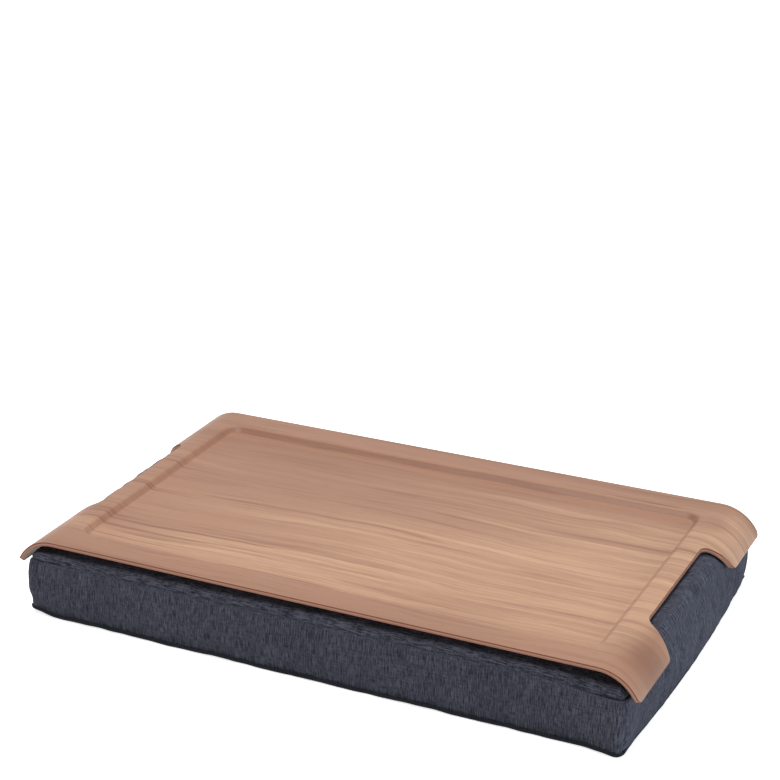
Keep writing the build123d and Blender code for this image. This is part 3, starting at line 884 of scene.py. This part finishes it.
def nearSeam(co):
    # 1 on the top seam and fading off
    away = abs(co.z + seamDrop(co.x, co.y) - cushion["seamHeight"])
    return max(0.0, 1 - away / puckers["seamReach"])


def cornerDistance(co):
    flatX = cushion["halfLengthTop"] - cushion["cornerRadius"]
    flatY = cushion["halfWidth"] - cushion["cornerRadius"]
    dx, dy = abs(co.x) - flatX, abs(co.y) - flatY
    if dx <= 0 or dy <= 0:
        return 1.0
    return abs(math.atan2(dy, dx) - math.pi / 4) * cushion["cornerRadius"]


def sewSeams(cover):
    # Seam grooves, puckers beside them, and the fold under the front right horn
    c, p = cushion, puckers
    mesh = cover.data
    normals = [v.normal.copy() for v in mesh.vertices]
    for vertex, normal in zip(mesh.vertices, normals):
        co = vertex.co.copy()
        onEnd = 1.0 if abs(co.y) < c["halfWidth"] - p["endFrom"] else 0.0
        depth = c["seamDepth"] * lerp(1.0, c["endSeamShare"], onEnd)
        toCorner = c["halfLengthTop"] - abs(co.x)
        if not onEnd and toCorner < p["cornerReach"]:
            deeper = p["deeperAtHorn"] if co.x > 0 and co.y < 0 else p["deeperAtCorner"]
            depth *= 1 + deeper * (1 - max(toCorner, 0) / p["cornerReach"])
        vertex.co -= normal * depth * nearSeam(co) ** p["seamPower"]
        corner = cornerDistance(co)
        groove, grooveReach = p["uprightSeam"]
        foot, past = p["uprightSpan"]
        if corner < grooveReach and foot < co.z < c["seamHeight"] + past:
            vertex.co -= normal * groove * (1 - corner / grooveReach)
        # Broad lumps of the filling, and small puckers that run up from the piping
        foot, short = p["lumpSpan"]
        if foot < co.z < c["plateau"] - short:
            lumps = noise.noise(co * Vector(p["lumpScale"]))
            fade = min(1, co.z / p["lumpFade"])
            margin = p["besideZip"]
            if co.y > c["halfWidth"] - margin and abs(co.x) < c["zipHalfLength"] + margin:
                # Calm beside the zip, where the slider runs
                start, rise = p["calmBesideZip"]
                fade *= smooth((abs(co.z - c["zipHeight"]) - start) / rise)
            vertex.co += normal * p["lumpHeight"] * lumps * fade
            if co.z < c["seamHeight"]:
                (lowReach, lowHeight), (highReach, highHeight) = p["low"], p["high"]
                low = max(0.0, 1 - co.z / lowReach)
                high = max(0.0, 1 - (c["seamHeight"] - co.z) / highReach)
                ripple = waver(co.x, co.y, p["puckerScale"], 3.0)
                vertex.co += normal * ripple * fade * (lowHeight * low + highHeight * high)


bags = {
    "innerLiner": {"inward": 0.0036, "lumps": 0.0, "cloth": "whiteLining",
                   "node": "inner_liner", "slot": "white_lining"},
    "beadFill": {"inward": 0.0052, "lumps": 0.0008, "cloth": "beadCloth",
                 "node": "bead_fill", "slot": "bead_bag"},
}
beadScale = 140


def insideCopy(source, name, bag):
    # A bag inside the cover: the cover's own form moved in along its normals
    mesh = source.data.copy()
    mesh.name = name
    mesh.materials.clear()
    mesh.materials.append(fabric[bag["cloth"]])
    normals = [v.normal.copy() for v in mesh.vertices]
    for vertex, normal in zip(mesh.vertices, normals):
        bump = bag["lumps"] * noise.noise(vertex.co * beadScale)
        vertex.co -= normal * (bag["inward"] + bump)
    return linked(name, mesh)


cover = buildCover()
fillOut(cover)
keepClear(cover)
puffNotches(cover)
settleCorners(cover)
for name, bag in bags.items():
    inner = insideCopy(cover, name, bag)
    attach(inner, "cushion")
    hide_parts(bag["node"])
refine(cover)
sewSeams(cover)
cover.data.materials.clear()
cover.data.materials.append(fabric["charcoalChambray"])
coverNodes = ["top_panel", "bottom_panel", "boxing_front", "boxing_right", "boxing_left",
              "boxing_back_right", "boxing_back_left", "zip_facing_lower", "zip_facing_upper"]
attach(cover, "cushion")
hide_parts(*coverNodes)
print("the cover is filled out and sewn:", len(cover.data.polygons), "faces")


# Piping round the bottom seam

piping = {
    "radius": 0.0016,
    "outside": 0.004,
    "rounder": 0.002,
    "swell": 0.10,
    "swellScale": 60,
    "reach": 0.001,
    "height": 0.0021,
    "sides": 10,
    "wander": 0.0010,
    "raised": 0.4,
    "swayScale": 24,
    "reachWander": 0.4,
    "reachScale": 30,
    "flatten": 0.92,
    "endDepth": 0.02,
    "endSoft": (0.002, 0.016),
    "endTuck": 0.0024,
    "cornerTuck": 0.018,
}


def buildPiping():
    c, p = cushion, piping
    path = outline(c["halfLengthBase"] + p["outside"], c["halfWidth"] + p["outside"], c["endBow"],
                   c["cornerRadius"] + p["rounder"])
    count, sides = len(path), p["sides"]
    points, faces = [], []
    for i, (x, y) in enumerate(path):
        tangent = (Vector(path[(i + 1) % count]) - Vector(path[i - 1])).normalized()
        outward = Vector((tangent.y, -tangent.x))
        radius = p["radius"] * (1 + p["swell"] * waver(x, y, p["swellScale"], 7.0))
        sway = p["raised"] + waver(x, y, p["swayScale"], 0.5)
        height = p["height"] + p["wander"] * sway + cornerLift(x, y)
        onEnd = 0.0
        if abs(x) > c["halfLengthBase"] - p["endDepth"]:
            past, run = p["endSoft"]
            onEnd = smooth((c["halfWidth"] + past - abs(y)) / run)
        away = math.hypot(c["halfLengthBase"] - abs(x), c["halfWidth"] - abs(y))
        reach = p["reach"] * (1 - smooth(1 - away / p["cornerTuck"])) - p["endTuck"] * onEnd
        reach += p["wander"] * p["reachWander"] * waver(x, y, p["reachScale"], 4.0)
        touch = cover.closest_point_on_mesh(Vector((x, y, height)))[1]
        centre = Vector((touch.x, touch.y)) + outward * reach
        for k in range(sides):
            a = 2 * math.pi * k / sides
            flat = centre + outward * radius * math.cos(a)
            points.append((flat.x, flat.y, height + radius * p["flatten"] * math.sin(a)))
            j, m = (i + 1) % count, (k + 1) % sides
            faces.append((i * sides + k, j * sides + k, j * sides + m, i * sides + m))
    piece = newPiece("bottomPiping", points, faces, fabric["blackTwill"])
    refine(piece)
    return piece


pipingPiece = buildPiping()
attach(pipingPiece, "cushion")
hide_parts("bottom_piping")
print("the piping is on")


# Repeats made with Geometry Nodes: stitches, coil teeth, hooks and loops

def newRepeatGroup(name, inputs):
    group, given, made = newGroup(
        name, "GeometryNodeTree",
        [("Geometry", "NodeSocketGeometry", None), ("Element", "NodeSocketObject", None),
         ("Material", "NodeSocketMaterial", None), *inputs],
        [("Geometry", "NodeSocketGeometry")])
    group.is_modifier = True
    return group, given.outputs, made


def placeElements(group, given, made, points, rotation):
    # A copy of the element on every point, made real and given its material
    copied = addNode(group, "GeometryNodeObjectInfo", {"Object": given["Element"]})
    copies = addNode(group, "GeometryNodeInstanceOnPoints",
                     {"Points": points, "Instance": copied.outputs["Geometry"],
                      "Rotation": rotation})
    real = addNode(group, "GeometryNodeRealizeInstances", {0: copies.outputs[0]})
    dressed = addNode(group, "GeometryNodeSetMaterial",
                      {"Geometry": real.outputs[0], "Material": given["Material"]})
    group.links.new(dressed.outputs[0], made.inputs[0])


def makeRowGroup():
    # One element at every step along the edges of a mesh, turned to follow them
    group, given, made = newRepeatGroup(
        "elementRow", [("Spacing", "NodeSocketFloat", 0.003), ("Roll", "NodeSocketFloat", 0.0)])
    curve = addNode(group, "GeometryNodeMeshToCurve", {"Mesh": given["Geometry"]})
    steps = addNode(group, "GeometryNodeResampleCurve",
                    {"Curve": curve.outputs[0], "Length": given["Spacing"]}, mode="LENGTH")
    tangent = group.nodes.new("GeometryNodeInputTangent")
    turned = addNode(group, "FunctionNodeAlignRotationToVector",
                     {"Vector": tangent.outputs[0]}, axis="X")
    rolled = addNode(group, "FunctionNodeEulerToRotation",
                     {0: joinXYZ(group, given["Roll"], 0.0)})
    both = addNode(group, "FunctionNodeRotateRotation",
                   {0: turned.outputs[0], 1: rolled.outputs[0]}, rotation_space="LOCAL")
    placeElements(group, given, made, steps.outputs[0], both.outputs[0])
    return group


def makePileGroup():
    # Elements on a grid, each shifted and turned a little at random
    group, given, made = newRepeatGroup(
        "elementPile", [("Jitter", "NodeSocketFloat", 0.0003), ("Turn", "NodeSocketFloat", 3.14),
                        ("Seed", "NodeSocketInt", 7)])
    points = addNode(group, "GeometryNodeMeshToPoints", {"Mesh": given["Geometry"]})
    jitter, seed = given["Jitter"], given["Seed"]
    low = times(group, jitter, -1.0)
    shift = addNode(group, "FunctionNodeRandomValue",
                    {0: joinXYZ(group, low, low), 1: joinXYZ(group, jitter, jitter),
                     "Seed": seed}, data_type="FLOAT_VECTOR")
    moved = addNode(group, "GeometryNodeSetPosition",
                    {"Geometry": points.outputs[0], "Offset": shift.outputs[0]})
    turn = addNode(group, "FunctionNodeRandomValue",
                   {0: (0, 0, 0), 1: joinXYZ(group, 0.0, 0.0, given["Turn"]),
                    "Seed": plus(group, seed, 5.0)}, data_type="FLOAT_VECTOR")
    turned = addNode(group, "FunctionNodeEulerToRotation", {0: turn.outputs[0]})
    placeElements(group, given, made, moved.outputs[0], turned.outputs[0])
    return group


rowGroup, pileGroup = makeRowGroup(), makePileGroup()


def repeated(name, points, edges, group, values):
    # A mesh of points or edges turned into its repeated elements
    mesh = bpy.data.meshes.new(name)
    mesh.from_pydata([tuple(p) for p in points], edges, [])
    piece = linked(name, mesh)
    modifier = piece.modifiers.new("repeat", "NODES")
    modifier.node_group = group
    for item in group.interface.items_tree:
        if item.in_out == "INPUT" and item.name in values:
            modifier[item.identifier] = values[item.name]
    applyAll(piece)
    return piece


def rows(lines):
    points, edges = [], []
    for line in lines:
        edges += [(len(points) + k, len(points) + k + 1) for k in range(len(line) - 1)]
        points += line
    return points, edges


def skin(rings, sides, closed=False):
    # Faces between rings of points, with end faces unless the last ring meets the first
    faces = []
    for i in range(rings if closed else rings - 1):
        here, after = i * sides, (i + 1) % rings * sides
        for k in range(sides):
            m = (k + 1) % sides
            faces.append((here + k, here + m, after + m, after + k))
    if not closed:
        faces.append(tuple(range(sides)))
        faces.append(tuple(reversed(range((rings - 1) * sides, rings * sides))))
    return faces


def tubeMesh(path, radius, sides, closed=False):
    # A small tube round a path, its ends narrowed and closed
    points, count = [], len(path)
    for i, here in enumerate(path):
        before = path[i - 1] if (closed or i) else here
        after = path[(i + 1) % count] if (closed or i < count - 1) else here
        tangent = (Vector(after) - Vector(before)).normalized()
        steep = abs(tangent.z) >= 0.8
        side = tangent.cross(Vector((1, 0, 0)) if steep else Vector((0, 0, 1))).normalized()
        up = side.cross(tangent)
        r = radius * (0.6 if not closed and i in (0, count - 1) else 1.0)
        for k in range(sides):
            a = 2 * math.pi * k / sides
            points.append(Vector(here) + side * r * math.cos(a) + up * r * math.sin(a))
    return points, skin(count, sides, closed)


def element(name, points, faces, material):
    piece = newPiece(name, points, faces, material)
    form = bmesh.new()
    form.from_mesh(piece.data)
    bmesh.ops.recalc_face_normals(form, faces=form.faces)
    form.to_mesh(piece.data)
    form.free()
    return piece


def discard(*pieces):
    for piece in pieces:
        bpy.data.objects.remove(piece)


def joined(name, pieces):
    form = bmesh.new()
    for piece in pieces:
        form.from_mesh(piece.data)
    mesh = bpy.data.meshes.new(name)
    form.to_mesh(mesh)
    form.free()
    for material in pieces[0].data.materials:
        mesh.materials.append(material)
    mesh.polygons.foreach_set("use_smooth", [True] * len(mesh.polygons))
    discard(*pieces)
    return linked(name, mesh)


# Zip: two tapes and a coil of small loops

zipLook = {
    "tapeThickness": 0.0005,
    "tapeBehind": 0.00082,
    "tapeHalfLength": 0.2224,
    "tapeAtCoil": 0.15866,
    "tapeTurnIn": 0.0032,
    "tapeCells": 150,
    "tapeRipple": 0.00012,
    "rippleScale": (70, 900),
    "toothPitch": 0.00136,
    "toothRadius": 0.00027,
    "toothReach": 0.00022,
    "coilMiddle": 0.15955,
    "coilFromStop": 0.0004,
    "metal": "4a4b50",
    "metalEdge": 0.00014,
    "metalAngle": 40,
    "scuffScale": 700,
    "scuffs": (0.3, 0.7, 0.24, 0.40),
    "nylon": "1b1b1f",
}
boxes = {f"{kind}_{side}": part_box(f"{kind}_{side}")
         for kind, sides in (("zip_tape", ("lower", "upper")), ("zip_coil", ("lower", "upper")),
                             ("hook_strip", ("left", "right")), ("loop_strip", ("left", "right")))
         for side in sides}


def wallY(z):
    t = z / cushion["seamHeight"]
    return cushion["halfWidth"] + cushion["sideBelly"] * 4 * t * (1 - t)


def buildTape(name, low, high, coilEdge):
    # A woven tape behind the facing, its edge by the coil turned in
    outer, steps, cells = [], 10, zipLook["tapeCells"]
    for k in range(steps + 1):
        z = lerp(low, high, k / steps)
        ease = smooth(1 - abs(z - coilEdge) / zipLook["tapeTurnIn"])
        outer.append((lerp(wallY(z) - zipLook["tapeBehind"], zipLook["tapeAtCoil"], ease), z))
    section = outer + [(y - zipLook["tapeThickness"], z) for y, z in reversed(outer)]
    points = []
    for i in range(cells + 1):
        x = lerp(-zipLook["tapeHalfLength"], zipLook["tapeHalfLength"], i / cells)
        alongScale, upScale = zipLook["rippleScale"]
        wave = noise.noise(Vector((x * alongScale, low * upScale, 2.0)))
        ripple = zipLook["tapeRipple"] * wave
        points += [(x, y + ripple, z) for y, z in section]
    return element(name, points, skin(cells + 1, len(section)), fabric["blackTwill"])


for side in ("lower", "upper"):
    low, high = (corner[2] for corner in boxes["zip_tape_" + side])
    tape = buildTape("zipTape" + side.title(), low, high, high if side == "lower" else low)
    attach(tape, "cushion")
    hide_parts("zip_tape_" + side)

coilNylon = newMaterial("coilNylon", Base_Color=rgb(zipLook["nylon"]), Roughness=0.34,
                        Specular_IOR_Level=0.5)[0]
halfTall = (boxes["zip_coil_lower"][1][2] - boxes["zip_coil_lower"][0][2]) / 2
# One side of the loop, from its foot on the tape to its nose, then mirrored for the other
rising = [(0.00012, -0.0005, -halfTall + 0.0003), (0.0, -0.0005, 0.0004),
          (-0.0001, -0.0003, halfTall - 0.0001)]
loop = (rising + [(0.0, 0.0, halfTall + zipLook["toothReach"])]
        + [(-x, -y, z) for x, y, z in reversed(rising)] + [(0.0, 0.0, -halfTall + 0.00012)])
tooth = element("coilTooth", *tubeMesh(loop, zipLook["toothRadius"], 6, closed=True), coilNylon)
coils = []
pitch, margin = zipLook["toothPitch"], zipLook["coilFromStop"]
for side, roll, offset in (("lower", 0.0, 0.0), ("upper", math.pi, pitch / 2)):
    lo, hi = boxes["zip_coil_" + side]
    ends = (lo[0] + margin + offset, hi[0] - margin - pitch / 2 + offset)
    line = [(lerp(*ends, k / 4), zipLook["coilMiddle"], (lo[2] + hi[2]) / 2) for k in range(5)]
    coils.append(repeated("coil" + side.title(), *rows([line]), rowGroup,
                          {"Element": tooth, "Spacing": pitch, "Roll": roll,
                           "Material": coilNylon}))
zipCoil = joined("zipCoil", coils)
discard(tooth)
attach(zipCoil, "cushion")
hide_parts("zip_coil_lower", "zip_coil_upper")
print("the zip has its tapes and coil:", len(zipCoil.data.polygons), "faces")

gunmetal, metalTree, metalShader = newMaterial(
    "gunmetal", Base_Color=rgb(zipLook["metal"]), Metallic=1.0, Roughness=0.3)
metalPlace = metalTree.nodes.new("ShaderNodeTexCoord").outputs["Object"]
scuffPlace = addNode(metalTree, "ShaderNodeVectorMath",
                     {0: metalPlace, 1: (zipLook["scuffScale"],) * 3},
                     operation="MULTIPLY").outputs[0]
scuffs = stretch(metalTree, noiseAt(metalTree, scuffPlace, 3.0), *zipLook["scuffs"])
metalTree.links.new(scuffs, metalShader.inputs["Roughness"])
for name in ("zip_stops", "zip_slider", "zip_pull"):
    dress(name, gunmetal)
    part = cadNodes[name]
    weld = part.modifiers.new("weld", "WELD")
    weld.merge_threshold = 1e-6
    soften = part.modifiers.new("soften", "BEVEL")
    soften.width, soften.segments = zipLook["metalEdge"], 2
    soften.limit_method, soften.angle_limit = "ANGLE", math.radians(zipLook["metalAngle"])


# Hook and loop strips

stripLook = {
    "backThickness": 0.00055,
    "corner": 0.0025,
    "edges": ((0.0, 0.0002), (0.0001, 0.0), (-0.0001, 0.0), (0.0, 0.0002), (0.0, 0.0012)),
    "pileMargin": 0.0026,
}
# What each strip's pile is made of, which body it rides on and how its elements are strewn
strips = {
    "hook": {"body": "tray", "pitch": 0.0021, "height": 0.00044, "wire": 0.00009,
             "Jitter": 0.00008, "Turn": 0.5, "Seed": 3},
    "loop": {"body": "cushion", "pitch": 0.0017, "height": 0.00044, "wire": 0.00007,
             "Jitter": 0.0005, "Turn": 6.28, "Seed": 11},
}


def buildStrip(name, box, low, high):
    # A woven strip with rounded corners and softened edges
    lo, hi = box
    midX, midY = (lo[0] + hi[0]) / 2, (lo[1] + hi[1]) / 2
    halfX, halfY, r = (hi[0] - lo[0]) / 2, (hi[1] - lo[1]) / 2, stripLook["corner"]
    ring = []
    for quarter, (sx, sy) in enumerate(((1, 1), (-1, 1), (-1, -1), (1, -1))):
        for k in range(5):
            a = math.radians(90 * quarter + 22.5 * k)
            ring.append((sx * (halfX - r) + r * math.cos(a), sy * (halfY - r) + r * math.sin(a)))
    points, levels = [], stripLook["edges"]
    for index, (lift, inset) in enumerate(levels):
        height = (low if index < 2 else high) + lift
        points += [(midX + x * (1 - inset / halfX), midY + y * (1 - inset / halfY), height)
                   for x, y in ring]
    return element(name, points, skin(len(levels), len(ring)), fabric["blackTape"])


def pilePoints(box, pitch, height):
    lo, hi = box
    margin = stripLook["pileMargin"]
    across = int((hi[0] - lo[0] - 2 * margin) / pitch)
    along = int((hi[1] - lo[1] - 2 * margin) / pitch)
    return [(lerp(lo[0] + margin, hi[0] - margin, (i + 0.5 * (j % 2)) / (across + 0.5)),
             lerp(lo[1] + margin, hi[1] - margin, j / along), height)
            for j in range(along + 1) for i in range(across + 1)]


def hookPath(height, wire):
    return [(0, 0, 0.0001), (0, 0, -0.6 * height), (0.00012, 0, -height + wire),
            (0.0003, 0, -0.72 * height)]


def loopPath(height, wire):
    turns = [math.radians(a) for a in (-12, 30, 62, 90, 118, 150, 192)]
    return [(0.0003 * math.cos(a), 0.00008 * math.sin(2 * a), (height - wire) * math.sin(a))
            for a in turns]


wires = {}
for kind, path in (("hook", hookPath), ("loop", loopPath)):
    height, wire = strips[kind]["height"], strips[kind]["wire"]
    wires[kind] = element(kind + "Element", *tubeMesh(path(height, wire), wire, 4),
                          fabric["blackTape"])
for side in ("left", "right"):
    for kind, look in strips.items():
        box = boxes[f"{kind}_strip_{side}"]
        if kind == "hook":  # pile faces down, and its back sits under the tray
            pileHeight = box[1][2] - stripLook["backThickness"]
            slab = buildStrip("hookBack", box, pileHeight, box[1][2] - 0.00002)
        else:  # pile faces up, and its back sinks into the cover
            pileHeight = box[0][2] + stripLook["backThickness"]
            slab = buildStrip("loopBack", box, box[0][2] - 0.0006, pileHeight)
        values = {key: look[key] for key in ("Jitter", "Turn", "Seed")}
        pile = repeated(kind + "Pile", pilePoints(box, look["pitch"], pileHeight), [], pileGroup,
                        {"Element": wires[kind], "Material": fabric["blackTape"], **values})
        strip = joined(f"{kind}Strip{side.title()}", [slab, pile])
        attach(strip, look["body"])
        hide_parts(f"{kind}_strip_{side}")
discard(*wires.values())
print("the hook and loop strips have their pile:", len(strip.data.polygons), "faces each")


# Stitching along the zip facings and round the loop strips

stitching = {
    "length": 0.0026,
    "pitch": 0.0034,
    "thread": 0.00019,
    "colour": "24252b",
    "fromSlot": 0.0017,
    "rowHalf": 0.2185,
    "rowPoints": 120,
    "endX": 0.2212,
    "endHalf": 0.0055,
    "lift": 0.00006,
    "stripInset": 0.0014,
    "stripLift": 0.00008,
}


def onCover(point):
    place, normal = cover.closest_point_on_mesh(Vector(point))[1:3]
    return place + normal * stitching["lift"]


def stitchLines():
    c, look = cushion, stitching
    lines = []
    away = c["zipSlotHalf"] + look["fromSlot"]
    for height in (c["zipHeight"] - away, c["zipHeight"] + away):
        lines.append([onCover((lerp(-look["rowHalf"], look["rowHalf"], k / look["rowPoints"]),
                               wallY(height), height)) for k in range(look["rowPoints"] + 1)])
    for x in (-look["endX"], look["endX"]):
        lines.append([onCover((x, wallY(c["zipHeight"]), c["zipHeight"] + share * look["endHalf"]))
                      for share in (-1, -0.5, 0, 0.5, 1)])
    for side in ("left", "right"):
        lo, hi = boxes["loop_strip_" + side]
        top, inset = lo[2] + stripLook["backThickness"] + look["stripLift"], look["stripInset"]
        corners = [(lo[0] + inset, lo[1] + inset), (hi[0] - inset, lo[1] + inset),
                   (hi[0] - inset, hi[1] - inset), (lo[0] + inset, hi[1] - inset)]
        for k in range(4):
            (ax, ay), (bx, by) = corners[k], corners[(k + 1) % 4]
            lines.append([(lerp(ax, bx, t), lerp(ay, by, t), top) for t in (0, 0.5, 1)])
    return lines


thread = newMaterial("charcoalThread", Base_Color=rgb(stitching["colour"]), Roughness=0.6,
                     Sheen_Weight=0.2)[0]
half = stitching["length"] / 2
stitchPath = [(-half, 0, -0.0001), (-0.55 * half, 0, 0.0001), (0, 0, 0.00014),
              (0.55 * half, 0, 0.0001), (half, 0, -0.0001)]
stitch = element("stitchElement", *tubeMesh(stitchPath, stitching["thread"], 6), thread)
coverStitches = repeated("coverStitches", *rows(stitchLines()), rowGroup,
                         {"Element": stitch, "Spacing": stitching["pitch"], "Roll": 0.0,
                          "Material": thread})
discard(stitch)
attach(coverStitches, "cushion")
print("the stitching is in:", len(coverStitches.data.polygons), "faces")
